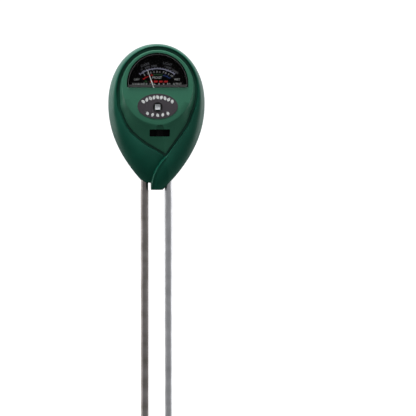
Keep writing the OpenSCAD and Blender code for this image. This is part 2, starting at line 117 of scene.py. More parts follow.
# ---- Floor and backdrop ---------------------------------------------------------------------
# A sheet of pale paper: flat under the probes' tips, then curved up into a wall behind. It
# glows evenly by its own emission, so that it stays an even white, and it is hidden from
# diffuse and glossy rays, so that it lights nothing itself.
def paper_sweep(half_wide, near, far, rise, radius, floor_z):
    """The profile is a straight floor, a quarter circle and a straight wall, carried along X."""
    turn = np.linspace(0, np.pi / 2, 25)
    y = np.concatenate([[near], far - radius + radius * np.sin(turn), [far]])
    z = np.concatenate([[0], radius - radius * np.cos(turn), [rise]]) + floor_z
    x = np.array([[-half_wide], [half_wide]])
    grid = np.stack(np.broadcast_arrays(x, y, z), axis=-1)
    count = len(y)
    first = np.arange(count - 1)
    faces = np.stack([first, first + count, first + count + 1, first + 1], axis=1)
    mesh = bpy.data.meshes.new("paper_backdrop")
    mesh.from_pydata(grid.reshape(-1, 3).tolist(), [], faces.tolist())
    mesh.shade_smooth()
    return mesh


UNDER_TIPS = 0.2 * MM
backdrop = bpy.data.objects.new(
    "paper_backdrop", paper_sweep(7, -7, 6, 6, 1.5, cad_box[0][2] - UNDER_TIPS)
)
bpy.context.scene.collection.objects.link(backdrop)
paper = bpy.data.materials.new("pale_paper")
paper.use_nodes = True
glow = paper.node_tree.nodes["Principled BSDF"].inputs
glow["Base Color"].default_value = (0.5, 0.5, 0.5, 1)
glow["Roughness"].default_value = 0.8
glow["Emission Color"].default_value = (1, 1, 1, 1)
glow["Emission Strength"].default_value = 0.8
backdrop.data.materials.append(paper)
backdrop.visible_diffuse = False
backdrop.visible_glossy = False


# ---- Front shell ----------------------------------------------------------------------------
# The green ring round the face, injection moulded in one piece with a fine satin texture.
# Two petals meet below the face: the right one runs over the left and on into the neck.
# It is screwed to the rear shell from behind and holds the face panel on a ledge.
HEAD_HALF = 32.5
WIDEST_Z = 58
REACH_UP, POWER_UP = 40.2, 2.07
REACH_DOWN, POWER_DOWN = 62, 2.1
CENTRE_Z = 65.9
OVAL_SIDE, OVAL_UP = 26.2, 29
FULLER, FULLER_ANGLE = 1, 246
RIGHT_LINE, LEFT_LINE = (29.15, 125.4), (33.6, 210.3)
FULLER_SPREAD = 9
RIGHT_EASE, LEFT_EASE = (119.7, 22.3), (189, 57.7)
GROOVE_W = 2.1
LIP_LOW, LIP_RISE, LIP_FROM, LIP_SPAN = 12.2, 4.3, 24, 71
LEDGE_W, GROOVE_SIDE, LEDGE_TOP, LEDGE_UNDER = 2.8, 2.3, 2.6, 4.6
VEE_ANGLE, VEE_Z = 172.25, 21.5
PETAL_FOOT, PETAL_REACH, PETAL_RISE, PETAL_POWER = -3.7, 10.5, 23.5, 2.3
PETAL_DROP, PETAL_FADE = 2.1, 6.5
BEAD_H, BEAD_W = 0.45, 0.7
PARTING_ROUND = 0.35
LIP_ROUND = 0.5
WALL = 2.2
NECK_FLOOR = 7.5
NO_LIMIT = 99
PROBE_X, PROBE_HOLE_R = 8.05, 2.8


def eased(u):
    """The smooth step 3u^2 - 2u^3, held at 0 and 1 outside its range."""
    u = np.clip(u, 0, 1)
    return u * u * (3 - 2 * u)


def half_width(z):
    """Half the head's width: two power curves that meet at the widest height."""
    up = np.clip((z - WIDEST_Z) / REACH_UP, 0, 1)
    down = np.clip((WIDEST_Z - z) / REACH_DOWN, 0, 1)
    above = (1 - up**POWER_UP) ** (1 / POWER_UP)
    return HEAD_HALF * np.where(z > WIDEST_Z, above, 1 - down**POWER_DOWN)


def outline_r(angle):
    """Distance from the centre to the outline in each direction, found by halving a bracket."""
    low, high = np.full(angle.shape, 20.0), np.full(angle.shape, 75.0)
    for _ in range(40):
        middle = (low + high) / 2
        across, up = middle * np.sin(angle), CENTRE_Z + middle * np.cos(angle)
        inside = np.abs(across) < half_width(up)
        low, high = np.where(inside, middle, low), np.where(inside, high, middle)
    return low


def groove_r(angle):
    """An oval's polar radius, with a fuller place at the lower left after a bell curve, eased
    below into two straight lines that meet at the vee."""
    oval = 1 / np.sqrt((np.sin(angle) / OVAL_SIDE) ** 2 + (np.cos(angle) / OVAL_UP) ** 2)
    turn = np.degrees(angle)
    oval += FULLER * np.exp(-(((turn - FULLER_ANGLE) / FULLER_SPREAD) ** 2))
    right, left = (
        away / np.maximum(np.cos(angle - np.radians(facing)), 0.2)
        for away, facing in (RIGHT_LINE, LEFT_LINE)
    )
    before = oval + (right - oval) * eased((turn - RIGHT_EASE[0]) / RIGHT_EASE[1])
    after = left + (oval - left) * eased((turn - LEFT_EASE[0]) / LEFT_EASE[1])
    return np.where(turn < VEE_ANGLE + 0.01, before, after)


def lip_height(angle):
    """How far in front of the parting plane the petals' lips stand, lower towards the vee."""
    up = CENTRE_Z + groove_r(angle) * np.cos(angle)
    return LIP_LOW + LIP_RISE * eased((up - LIP_FROM) / LIP_SPAN)


def inner_wall_r(angle):
    """Distance to the shells' inside: one wall within the outline, and above the neck's floor."""
    down = -np.cos(angle)
    to_floor = np.where(down > 0.5, (CENTRE_Z - NECK_FLOOR) / np.maximum(down, 0.1), NO_LIMIT)
    return np.minimum(outline_r(angle) - WALL, to_floor)


def polar(angle, r, height):
    """Points at a direction clockwise from upright, a distance and a height to the front."""
    r, height = np.broadcast_arrays(r, height)
    return np.stack([r * np.sin(angle), -height, CENTRE_Z + r * np.cos(angle)], axis=-1)


def loft(rings, first=None, last=None):
    """A closed surface through rings of equal length, as points and faces. Neighbouring rings
    are joined by quads. The end rings are closed by fans to two poles, or joined together.
    If the signed volume, a sum of triangles' determinants, is negative, all faces are turned."""
    rings = np.asarray(rings, float)
    count, n = rings.shape[:2]
    points = rings.reshape(-1, 3)
    i = np.arange(n)
    j = (i + 1) % n
    k = np.arange(count if first is None else count - 1)[:, None] * n
    above = (k + n) % (count * n)
    quads = np.stack(np.broadcast_arrays(k + i, k + j, above + j, above + i), axis=-1)
    quads = quads.reshape(-1, 4)
    fans = np.empty((0, 3), int)
    if first is not None:
        points = np.vstack([points, first, last])
        top = (count - 1) * n
        low_fan = np.stack(np.broadcast_arrays(count * n, j, i), axis=1)
        high_fan = np.stack(np.broadcast_arrays(count * n + 1, top + i, top + j), axis=1)
        fans = np.vstack([low_fan, high_fan])
    triangles = np.vstack([quads[:, :3], quads[:, [0, 2, 3]], fans])
    a, b, c = (points[triangles[:, m]] for m in range(3))
    if np.einsum("ij,ij->", a, np.cross(b, c)) < 0:
        quads, fans = quads[:, ::-1], fans[:, ::-1]
    return points, quads.tolist() + fans.tolist()


def smoothed(mesh, sharp):
    """Shades a mesh smooth but for edges sharper than an angle in degrees."""
    mesh.shade_smooth()
    mesh.set_sharp_from_angle(angle=math.radians(sharp))


def build(name, *parts, sharp=35):
    """One object from parts, each of points in millimetres and faces."""
    points, faces, count = [], [], 0
    for part_points, part_faces in parts:
        points.append(part_points)
        faces += [[count + index for index in face] for face in part_faces]
        count += len(part_points)
    mesh = bpy.data.meshes.new(name)
    mesh.from_pydata((np.vstack(points) * MM).tolist(), [], faces)
    smoothed(mesh, sharp)
    piece = bpy.data.objects.new(name, mesh)
    bpy.context.scene.collection.objects.link(piece)
    return piece


def prism(outline, low, high):
    """A closed slab: a bulging outline in X and Z given two ends along Y."""
    outline = np.asarray(outline, float)
    rings = [np.insert(outline, 1, y, axis=1) for y in (low, high)]
    return loft(rings, rings[0].mean(0), rings[1].mean(0))


def turned(x, z, stations, sides=64):
    """A closed shape of revolution about a line along Y, through pairs of y and radius."""
    turn = np.linspace(0, 2 * np.pi, sides, endpoint=False)
    rings = [
        np.stack([x + r * np.cos(turn), np.full(sides, y), z + r * np.sin(turn)], axis=1)
        for y, r in stations
    ]
    return loft(rings, (x, stations[0][0], z), (x, stations[-1][0], z))


def upright(x, r, low, high, sides=64):
    """A closed upright cylinder standing in the parting plane."""
    turn = np.linspace(0, 2 * np.pi, sides, endpoint=False)
    rings = [
        np.stack([x + r * np.cos(turn), r * np.sin(turn), np.full(sides, z)], axis=1)
        for z in (low, high)
    ]
    return loft(rings, (x, 0, low), (x, 0, high))


def worked(piece, operation, tools, sharp=35):
    """Cuts, adds or keeps closed tools' volumes in a piece, and makes the result its mesh."""
    for tool in tools:
        step = piece.modifiers.new("work", "BOOLEAN")
        step.operation = operation
        step.solver = "MANIFOLD"
        step.object = tool
    graph = bpy.context.evaluated_depsgraph_get()
    mesh = bpy.data.meshes.new_from_object(piece.evaluated_get(graph))
    mesh.name = piece.name
    piece.modifiers.clear()
    piece.data = mesh
    smoothed(mesh, sharp)
    for tool in tools:
        bpy.data.objects.remove(tool)


def neck_tools():
    """What is cut from both shells: all below the neck's flat end, the step beside the neck
    where the left petal stops short, and the two round ways for the probes."""
    below = [(-20, -12), (20, -12), (20, 0), (-20, 0)]
    step = [(-20, -12), (-3.75, -12), (-3.75, 4.6), (-6.5, 5), (-14, 7.5), (-20, 7.5)]
    cuts = [build("tool", prism(shape, -25, 25)) for shape in (below, step)]
    ways = [build("tool", upright(side * PROBE_X, PROBE_HOLE_R, -8, 14)) for side in (-1, 1)]
    return cuts + ways


def petal_edge_x(z):
    """The right petal's free edge: a power curve from the neck's left side up to the vee."""
    return PETAL_FOOT + PETAL_REACH * (np.clip(z, 0, 40) / PETAL_RISE) ** PETAL_POWER


def petal_fall(points, angle):
    """Depth lost beside the right petal's edge: a sharp drop of the left petal that fades out
    exponentially, less a narrow bead along the edge. Right of the vee both end below the lip."""
    x, z = points[:, 0], points[:, 2]
    beside = petal_edge_x(z) - x
    past_vee = eased((VEE_ANGLE + 1.5 - np.degrees(angle)) / 3)
    near_lip = eased((z - VEE_Z) / 2.5)
    drop = PETAL_DROP * eased(beside / 0.5) * np.exp(-np.clip(beside, 0, None) / PETAL_FADE)
    bead = BEAD_H * np.exp(-(((beside + BEAD_W) / BEAD_W) ** 2))
    return drop * (1 - past_vee * near_lip) - bead * (1 - near_lip)


def front_shell():
    """Rings at fixed stations of one profile: a quarter ellipse from the parting line up to the
    petals' lips, a small round, the groove's wall and floor, and back along the inner wall."""
    coarse = np.arange(0, 360, 1.5)
    fine = np.arange(150, 215, 0.25)
    angle = np.radians(np.unique(np.concatenate([coarse, fine, [VEE_ANGLE]])))
    edge, lip_r, lip = outline_r(angle), groove_r(angle) + GROOVE_W / 2, lip_height(angle)
    round_r = lip_r + LIP_ROUND
    rings = [polar(angle, edge - PARTING_ROUND, 0)]
    for s in np.radians(np.concatenate([[1.6], np.linspace(3.5, 90, 66)])):
        rings.append(polar(angle, round_r + (edge - round_r) * np.cos(s), lip * np.sin(s)))
    for s in np.radians([25, 50, 75, 90]):
        height = lip - LIP_ROUND * (1 - np.cos(s))
        rings.append(polar(angle, lip_r + LIP_ROUND * (1 - np.sin(s)), height))
    for ring in rings:
        ring[:, 1] += petal_fall(ring, angle)
    ledge_r = groove_r(angle) - LEDGE_W
    for r, drop in (
        (lip_r, GROOVE_SIDE),
        (lip_r - 0.3, LEDGE_TOP),
        (ledge_r, LEDGE_TOP),
        (ledge_r, LEDGE_UNDER),
    ):
        rings.append(polar(angle, r, lip - drop))
    inner = inner_wall_r(angle)
    for s in np.radians(np.linspace(80, 0, 16)):
        r = ledge_r + (inner - ledge_r) * np.cos(s)
        rings.append(polar(angle, r, (lip - LEDGE_UNDER) * np.sin(s)))
    return loft(rings)


def shade(*values):
    """Display values from 0 to 255 as linear light, by the power 2.2, and opaque."""
    return tuple((v / 255) ** 2.2 for v in values) + (1,)


def new_material(name):
    """A material's node tree, its shader, and a way to add a node with its inputs set."""
    material = bpy.data.materials.new(name)
    material.use_nodes = True
    tree = material.node_tree

    def add(kind, **inputs):
        node = tree.nodes.new(kind)
        for key, value in inputs.items():
            socket = node.inputs[key.replace("_", " ")]
            if isinstance(value, bpy.types.NodeSocket):
                tree.links.new(value, socket)
            else:
                socket.default_value = value
        return node

    return material, tree, tree.nodes["Principled BSDF"], add


def ramp(add, factor, low, high, start=0.3, end=0.7):
    """A colour ramp from one colour to another between two factors."""
    node = add("ShaderNodeValToRGB", Fac=factor)
    node.color_ramp.elements[0].position = start
    node.color_ramp.elements[0].color = low
    node.color_ramp.elements[1].position = end
    node.color_ramp.elements[1].color = high
    return node.outputs["Color"]


def grey(value):
    """A grey of one linear value."""
    return (value, value, value, 1)


def moulded(name, dark, light, rough=0.36, grain=0.05, cloud=55.0, gloss=0.3):
    """Moulded plastic: a faint cloud of two close colours, a fine spark-eroded grain in the
    bump, and thin handling rubs that change the roughness. Less gloss is a weaker reflection."""
    material, tree, shader, add = new_material(name)
    where = add("ShaderNodeTexCoord").outputs["Object"]
    patches = add("ShaderNodeTexNoise", Vector=where, Scale=cloud, Detail=3.0).outputs["Fac"]
    tree.links.new(ramp(add, patches, dark, light), shader.inputs["Base Color"])
    slant = add("ShaderNodeMapping", Vector=where, Scale=(900.0, 900.0, 160.0))
    slant.inputs["Rotation"].default_value = (0.3, 0.5, 0.2)
    rubs = add("ShaderNodeTexNoise", Vector=slant.outputs["Vector"], Scale=1.0, Detail=2.0)
    worn = ramp(add, rubs.outputs["Fac"], grey(rough - 0.05), grey(rough + 0.07))
    tree.links.new(worn, shader.inputs["Roughness"])
    spark = add("ShaderNodeTexNoise", Vector=where, Scale=2600.0, Detail=2.0).outputs["Fac"]
    bump = add("ShaderNodeBump", Height=spark, Strength=grain, Distance=0.0001)
    tree.links.new(bump.outputs["Normal"], shader.inputs["Normal"])
    shader.inputs["Specular IOR Level"].default_value = gloss
    return material


def dressed(piece, material, body, slot, *replaced):
    """Gives a new piece its material and body, and hides the CAD nodes it stands for. The slot is
    not used.
    """
    piece.data.materials.clear()
    piece.data.materials.append(material)
    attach(piece, body)
    if replaced:
        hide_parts(*replaced)


shell_green = moulded("shell_green", shade(14, 78, 62), shade(20, 88, 70), rough=0.42)
shell = build("front_shell_moulding", front_shell())
worked(shell, "DIFFERENCE", neck_tools())
dressed(shell, shell_green, "head", "green_shell", "front_shell")


# ---- Rear shell -----------------------------------------------------------------------------
# The head's back, a shallow green bowl moulded in the same satin plastic as the front.
# Four posts inside it carry the case screws, which are sunk in round wells.
REAR_DEPTH = 15
DOME_POWER = 2.4
CASE_FIXINGS = [(20, 84), (-20, 84), (13.5, 30), (-13.5, 30)]
POST_R, WELL_R, HOLE_R = 3.6, 2.4, 1.3
SCREW_FLOOR = 5
dome_angle = np.radians(np.arange(0, 360, 1.5))


def dome(edge, depth, steps):
    """Rings of a bowl whose section follows |r|^p + |y|^p = 1, from its back to its rim."""
    s = np.radians(np.linspace(88, 0, steps))[:, None]
    power = 2 / DOME_POWER
    across, back = edge * np.cos(s) ** power, depth * np.sin(s) ** power
    return [polar(dome_angle, r, -y) for r, y in zip(across, back)]


rim_r = outline_r(dome_angle)
outside = dome(rim_r, REAR_DEPTH, 44)[:-1] + [polar(dome_angle, rim_r - 0.05, -0.3)]
outside.append(polar(dome_angle, rim_r - PARTING_ROUND, 0))
inside = dome(inner_wall_r(dome_angle), REAR_DEPTH - WALL, 24)
back_middle = np.array([0, REAR_DEPTH, CENTRE_Z])
bowl_wall = loft(outside + inside[::-1], back_middle, back_middle - (0, WALL, 0))
rear = build("rear_shell_moulding", bowl_wall)
post = [(0, POST_R), (REAR_DEPTH + 2, POST_R)]
posts = build("tool", *[turned(x, z, post) for x, z in CASE_FIXINGS])
bowl = build("tool", loft(outside, back_middle, (0, -3, CENTRE_Z)))
worked(posts, "INTERSECT", [bowl])
worked(rear, "UNION", [posts])
wells = [(-2, HOLE_R), (SCREW_FLOOR, HOLE_R), (SCREW_FLOOR, WELL_R), (REAR_DEPTH + 2, WELL_R)]
drills = build("tool", *[turned(x, z, wells) for x, z in CASE_FIXINGS])
worked(rear, "DIFFERENCE", [drills] + neck_tools())
rear_green = moulded("rear_green", shade(9, 62, 47), shade(14, 72, 55))
dressed(rear, rear_green, "head", "rear_green", "rear_shell")


# ---- Case screws ----------------------------------------------------------------------------
# Cross-headed self-tapping steel screws, zinc plated, turned into the front shell's bosses.
def metal(name, dark, light, rough=0.3, stretch=(900.0, 900.0, 900.0), scratch=0.08, edge=1.0):
    """Metal: two close colours in cloudy patches, and scratches from noise that is stretched
    along one direction, which mark both the roughness and the bump. The edge value is the
    colour that it turns to at a grazing angle."""
    material, tree, shader, add = new_material(name)
    where = add("ShaderNodeTexCoord").outputs["Object"]
    patches = add("ShaderNodeTexNoise", Vector=where, Scale=120.0, Detail=4.0).outputs["Fac"]
    tree.links.new(ramp(add, patches, dark, light), shader.inputs["Base Color"])
    drawn = add("ShaderNodeMapping", Vector=where, Scale=stretch).outputs["Vector"]
    lines = add("ShaderNodeTexNoise", Vector=drawn, Scale=1.0, Detail=3.0).outputs["Fac"]
    worn = ramp(add, lines, grey(rough - 0.08), grey(rough + 0.1))
    tree.links.new(worn, shader.inputs["Roughness"])
    bump = add("ShaderNodeBump", Height=lines, Strength=scratch, Distance=0.0001)
    tree.links.new(bump.outputs["Normal"], shader.inputs["Normal"])
    shader.inputs["Metallic"].default_value = 1.0
    shader.inputs["Specular Tint"].default_value = grey(edge)
    return material


def finish(material, *names):
    """Gives CAD nodes whose shape is right a better material."""
    for name in names:
        for entry in nodes[name].material_slots:
            entry.material = material


plated_steel = metal("plated_steel", shade(160, 162, 166), shade(196, 198, 202))
finish(plated_steel, "case_screws")


# ---- Face panel -----------------------------------------------------------------------------
# The raised face, moulded in a lighter green: a flat disc that slopes down to the groove, cut
# through for the window, the light cell and the switch, with a scooped thumb hollow.
# It snaps on to the front shell's ledge, and its posts hold the movement and circuit board.
FACE_H = 18
DISC_W, DISC_L, DISC_Z = 47.3, 50.3, 69.6
PANEL_T = 1.8
SLOPE_CURVE = 0.05
WINDOW_R, WINDOW_Z, WINDOW_FLAT_Z = 20.5, 71.35, 68.7
CELL_Z, CELL_HOLE_R = 55.8, 2.8
SWITCH_X, SWITCH_Z = 1.5, 38.4
SLOT_L, SLOT_H, SLOT_ROUND = 13.6, 4.8, 0.35
THUMB_R, THUMB_FRONT, THUMB_UP = 5, 20.5, 1.2


def disc_r(angle):
    """The ray's distance to an offset ellipse, held inside the groove."""
    side, up, off = DISC_W / 2, DISC_L / 2, DISC_Z - CENTRE_Z
    p = (np.sin(angle) / side) ** 2 + (np.cos(angle) / up) ** 2
    q = off * np.cos(angle) / up**2
    s = (off / up) ** 2 - 1
    return np.minimum((q + np.sqrt(q * q - p * s)) / p, groove_r(angle) - GROOVE_W / 2 - 0.6)


def face_panel():
    """Rings from the middle of the underside, out to the rim, over a small round, up a ramp
    t^2 / (t + c) that leaves the disc on a soft curve, and in to the middle of the disc."""
    coarse = np.arange(0, 360, 1.5)
    angle = np.radians(np.unique(np.concatenate([coarse, np.arange(160, 186, 0.5), [VEE_ANGLE]])))
    rim, disc, top = groove_r(angle) - GROOVE_W / 2, disc_r(angle), lip_height(angle) - 0.2
    rings = [polar(angle, disc - 1, FACE_H - PANEL_T), polar(angle, rim, top - GROOVE_SIDE)]
    rings.append(polar(angle, rim, top - 0.4))
    rings.append(polar(angle, rim - 0.1, top - 0.12))
    slope = rim - 0.4 - disc
    for t in 1 - np.linspace(0, 1, 20) ** 0.7:
        ramp_down = t * t * (1 + SLOPE_CURVE) / (t + SLOPE_CURVE)
        rings.append(polar(angle, disc + slope * t, FACE_H - (FACE_H - top) * ramp_down))
    for share in (0.8, 0.5, 0.2):
        rings.append(polar(angle, disc * share, FACE_H))
    return loft(rings, (0, PANEL_T - FACE_H, CENTRE_Z), (0, -FACE_H, CENTRE_Z))


def dee(r, flat_z, height):
    """Points round the part of a circle above a level, and back along the level."""
    start = math.asin((flat_z - WINDOW_Z) / r)
    turn = np.linspace(start, np.pi - start, 90)
    arc = np.stack([r * np.cos(turn), WINDOW_Z + r * np.sin(turn)], axis=1)
    along = np.linspace(arc[-1], arc[0], 26)[1:-1]
    return np.insert(np.vstack([arc, along]), 1, -height, axis=1)


def rounded_block(x, z, width, length, corner):
    """A rectangle's outline with quarter circles at its corners."""
    turn = np.linspace(0, np.pi / 2, 6)
    points = []
    for k, (i, j) in enumerate([(1, 1), (-1, 1), (-1, -1), (1, -1)]):
        a = turn + k * np.pi / 2
        across = x + i * (width / 2 - corner) + corner * np.cos(a)
        up = z + j * (length / 2 - corner) + corner * np.sin(a)
        points.append(np.stack([across, up], axis=1))
    return np.vstack(points)


def ball(x, y, z, r, sides=96):
    """A sphere as circles about a line along Y."""
    s = np.radians(np.linspace(-88, 88, 60))
    return turned(x, z, [(y + r * math.sin(a), r * math.cos(a)) for a in s], sides)


window_hole = [
    dee(WINDOW_R, WINDOW_FLAT_Z, 10),
    dee(WINDOW_R, WINDOW_FLAT_Z, FACE_H - 0.25),
    dee(WINDOW_R + 0.5, WINDOW_FLAT_Z - 0.5, FACE_H + 0.25),
]
switch_slot = rounded_block(SWITCH_X, SWITCH_Z, SLOT_L, SLOT_H, SLOT_ROUND)
panel = build("face_panel_moulding", face_panel())
worked(panel, "DIFFERENCE", [
    build("tool", loft(window_hole, (0, -10, 80), (0, -FACE_H - 0.25, 80))),
    build("tool", turned(0, CELL_Z, [(-25, CELL_HOLE_R), (-10, CELL_HOLE_R)])),
    build("tool", ball(SWITCH_X, -THUMB_FRONT, SWITCH_Z + THUMB_UP, THUMB_R)),
    build("tool", prism(switch_slot, -25, -10)),
])
base_post, board_post = (15.5, 53.5, 2.2, 2.6, 16.5), (8, 45.3, 1.6, 4.6, 15.5)
cell_post = (5.6, 55, 0.9, 14.9, 16.5)
panel_posts = [
    turned(side * x, z, [(-high, r), (-low, r)], 32)
    for side in (-1, 1)
    for x, z, r, low, high in (base_post, board_post, cell_post)
]
worked(panel, "UNION", [build("tool", *panel_posts)])
face_green = moulded("face_green", shade(50, 105, 82), shade(56, 113, 90), rough=0.42, grain=0.09)
dressed(panel, face_green, "head", "green_face", "face_panel")


# ---- Window cover ---------------------------------------------------------------------------
# A clear moulded cap over the dial, held by its flange behind the panel. Its front edge is
# bevelled. A grey, part-clear line and sill inside its edge are a painted highlight: they
# stand for the light caught in the cover's inner corner and in its thick bottom wall.
COVER_R, COVER_FLAT_Z = WINDOW_R - 0.08, WINDOW_FLAT_Z + 0.08
COVER_TOP = 18.8
FLANGE_BACK, FLANGE_FRONT = 15.4, 16.1
COVER_INSIDE = 17.6
RIM_OUTER_R, RIM_INNER_R, RIM_BACK = 19.75, 19.35, 17.4
RIM_PROUD = 0.02


def clear_plastic(name, see_through, tint, rough):
    """Clear plastic of one constant opacity, with a faint haze of handling in its gloss."""
    material, tree, shader, add = new_material(name)
    where = add("ShaderNodeTexCoord").outputs["Object"]
    haze = add("ShaderNodeTexNoise", Vector=where, Scale=180.0, Detail=4.0).outputs["Fac"]
    tree.links.new(ramp(add, haze, grey(rough), grey(rough + 0.08)), shader.inputs["Roughness"])
    tree.links.new(ramp(add, haze, tint, grey(tint[0] * 1.1)), shader.inputs["Base Color"])
    shader.inputs["Alpha"].default_value = see_through
    return material


cover_profile = [
    dee(COVER_R - 1.1, COVER_FLAT_Z + 1.1, COVER_INSIDE),
    dee(COVER_R - 1.1, COVER_FLAT_Z + 1.1, FLANGE_BACK),
    dee(WINDOW_R + 0.4, WINDOW_FLAT_Z - 1, FLANGE_BACK),
    dee(WINDOW_R + 0.4, WINDOW_FLAT_Z - 1, FLANGE_FRONT),
    dee(COVER_R, COVER_FLAT_Z, FLANGE_FRONT),
    dee(COVER_R, COVER_FLAT_Z, COVER_TOP - 0.5),
    dee(COVER_R - 0.15, COVER_FLAT_Z + 0.15, COVER_TOP - 0.18),
    dee(COVER_R - 0.5, COVER_FLAT_Z + 0.5, COVER_TOP),
]
cap = loft(cover_profile, (0, -COVER_INSIDE, 80), (0, -COVER_TOP, 80))
cover = build("window_cover_clear", cap, sharp=50)
clear_window = clear_plastic("clear_window", 0.025, grey(0.02), 0.05)
dressed(cover, clear_window, "head", "clear_window", "window_cover")
# The ring and sill below are a painted highlight: a grey, part-clear band for the light in the
# cover's inner corner and bottom wall.
rim_profile = [
    dee(RIM_OUTER_R, COVER_FLAT_Z + 0.3, RIM_BACK),
    dee(RIM_OUTER_R, COVER_FLAT_Z + 0.3, COVER_TOP + RIM_PROUD),
    dee(RIM_INNER_R, COVER_FLAT_Z + 1.9, COVER_TOP + RIM_PROUD),
    dee(RIM_INNER_R, COVER_FLAT_Z + 1.9, RIM_BACK),
]
rim = build("window_cover_highlight_ring", loft(rim_profile))
dressed(rim, clear_plastic("painted_cover_highlight", 0.35, grey(0.1), 0.3), "head", "clear_window")


# ---- Dial -----------------------------------------------------------------------------------
# A matt black sheet with its scales screen printed in white, silver and colours: light above,
# moisture in the middle and acidity below. Two screws hold it on the movement's posts.
DIAL_FRONT = 13.5
PIVOT_Z = 61.6
INK_T = 0.05
INK_BACK, INK_FRONT = -DIAL_FRONT - 0.01, -DIAL_FRONT - INK_T


def arc_band(r0, r1, start, end):
    """A printed stripe: a rectangle across two radii carried round the pivot, in degrees."""
    turn = np.radians(np.linspace(start, end, max(3, int(abs(end - start)))))
    corners = [(r0, INK_BACK), (r1, INK_BACK), (r1, INK_FRONT), (r0, INK_FRONT)]
    rings = [[(r * math.sin(t), y, PIVOT_Z + r * math.cos(t)) for r, y in corners] for t in turn]
    return loft(rings, np.mean(rings[0], axis=0), np.mean(rings[-1], axis=0))


def ticks(at, r0, r1, half=0.5):
    """Short stripes across two radii at a list of angles, each a few tenths wide."""
    return [arc_band(r0, r1, a - half, a + half) for a in at]


def lettering(words, x, z, width, height, turn=0.0):
    """Flat closed letters as points and faces: the font's outlines, merged at their edges,
    scaled to a width and a height, turned clockwise and set down with their middle at a place."""
    curve = bpy.data.curves.new("words", "FONT")
    curve.body = words
    curve.extrude = 0.5
    curve.resolution_u = 3
    source = bpy.data.objects.new("words", curve)
    bpy.context.scene.collection.objects.link(source)
    graph = bpy.context.evaluated_depsgraph_get()
    mesh = bpy.data.meshes.new_from_object(source.evaluated_get(graph))
    work = bmesh.new()
    work.from_mesh(mesh)
    bmesh.ops.remove_doubles(work, verts=work.verts, dist=1e-5)
    work.to_mesh(mesh)
    work.free()
    flat = np.empty(len(mesh.vertices) * 3)
    mesh.vertices.foreach_get("co", flat)
    flat = flat.reshape(-1, 3)
    faces = [list(face.vertices) for face in mesh.polygons]
    bpy.data.objects.remove(source)
    low, high = flat.min(0), flat.max(0)
    across = (flat[:, 0] - (low[0] + high[0]) / 2) * width / (high[0] - low[0])
    up = (flat[:, 1] - (low[1] + high[1]) / 2) * height / (high[1] - low[1])
    a = math.radians(turn)
    y = np.where(flat[:, 2] > 0, INK_FRONT, INK_BACK)
    right = x + across * math.cos(a) + up * math.sin(a)
    above = z - across * math.sin(a) + up * math.cos(a)
    return np.stack([right, y, above], axis=1), faces


def round_pivot(words, r, angle, width, height):
    """Lettering whose middle stands at a radius and angle from the pivot, turned with it."""
    a = math.radians(angle)
    return lettering(words, r * math.sin(a), PIVOT_Z + r * math.cos(a), width, height, angle)


def ink(name, dark, light, gloss=0.4):
    """Screen printing ink: a slightly uneven film, half matt, with a fine pin-holed bump."""
    material, tree, shader, add = new_material(name)
    where = add("ShaderNodeTexCoord").outputs["Object"]
    film = add("ShaderNodeTexNoise", Vector=where, Scale=900.0, Detail=3.0).outputs["Fac"]
    tree.links.new(ramp(add, film, dark, light), shader.inputs["Base Color"])
    holes = add("ShaderNodeTexNoise", Vector=where, Scale=6000.0, Detail=1.0).outputs["Fac"]
    bump = add("ShaderNodeBump", Height=holes, Strength=0.1, Distance=0.00002)
    tree.links.new(bump.outputs["Normal"], shader.inputs["Normal"])
    shader.inputs["Roughness"].default_value = 0.55
    shader.inputs["Specular IOR Level"].default_value = gloss
    return material


finish(ink("dial_black", shade(1, 1, 1), shade(4, 4, 4), 0.02), "dial_plate")
finish(metal("screw_black", shade(40, 40, 42), shade(60, 60, 62)), "dial_screws")
finish(metal("pin_brass", shade(150, 130, 90), shade(180, 158, 112)), "stop_pins")

silver_ink = ink("silver_ink", shade(140, 142, 164), shade(168, 170, 192))
light_scale = build(
    "dial_light_scale",
    arc_band(19.5, 20.1, -34, 34),
    *ticks(np.arange(-26, 32, 5.2), 20.1, 20.7, 0.9),
    *ticks([-9.5, 19], 19, 19.5, 0.7),
    arc_band(19, 20.8, -36.3, -34.8),
    arc_band(19, 20.8, 34.4, 36),
    arc_band(18.9, 20.6, -30.5, -27.5),
    sharp=60,
)
dressed(light_scale, silver_ink, "head", "dial_print")

white_ink = ink("white_ink", shade(170, 172, 170), shade(200, 202, 200))
digit_angles = [-29, -21.8, -14.5, -7.6, -0.9, 5.5, 13, 18.4, 25, 33]
digits = [
    round_pivot(str(k + 1), 17.75, a, 1.7 if k == 9 else 0.5 if k == 0 else 0.85, 1.25)
    for k, a in enumerate(digit_angles)
]
ACID_UP = 9.6
acid_row = [("8", -7.3), ("7", -4.9), ("6", -1.9), ("5", 1.1), ("4", 4.2), ("3.5", 7.6)]
acids = [lettering(t, x, PIVOT_Z + ACID_UP, 2.2 if "." in t else 1.0, 1.25) for t, x in acid_row]
numbers = build("dial_numbers", *digits, *acids, sharp=60)
dressed(numbers, white_ink, "head", "dial_print")
scale_words = [("DRY", -13.7, 12.5, 3.9, 1.35), ("WET", 13.2, 12.6, 4.1, 1.35)]
scale_words += [("MOIST", -0.1, 13.8, 6.3, 1.6)]
scale_words += [("ALKALINE", -12.7, ACID_UP, 8.8, 1.4), ("ACIDIC", 13.2, ACID_UP, 6, 1.4)]
words = build(
    "dial_words",
    *[lettering(t, x, PIVOT_Z + up, w, h) for t, x, up, w, h in scale_words],
    sharp=60,
)
dressed(words, white_ink, "head", "dial_print")
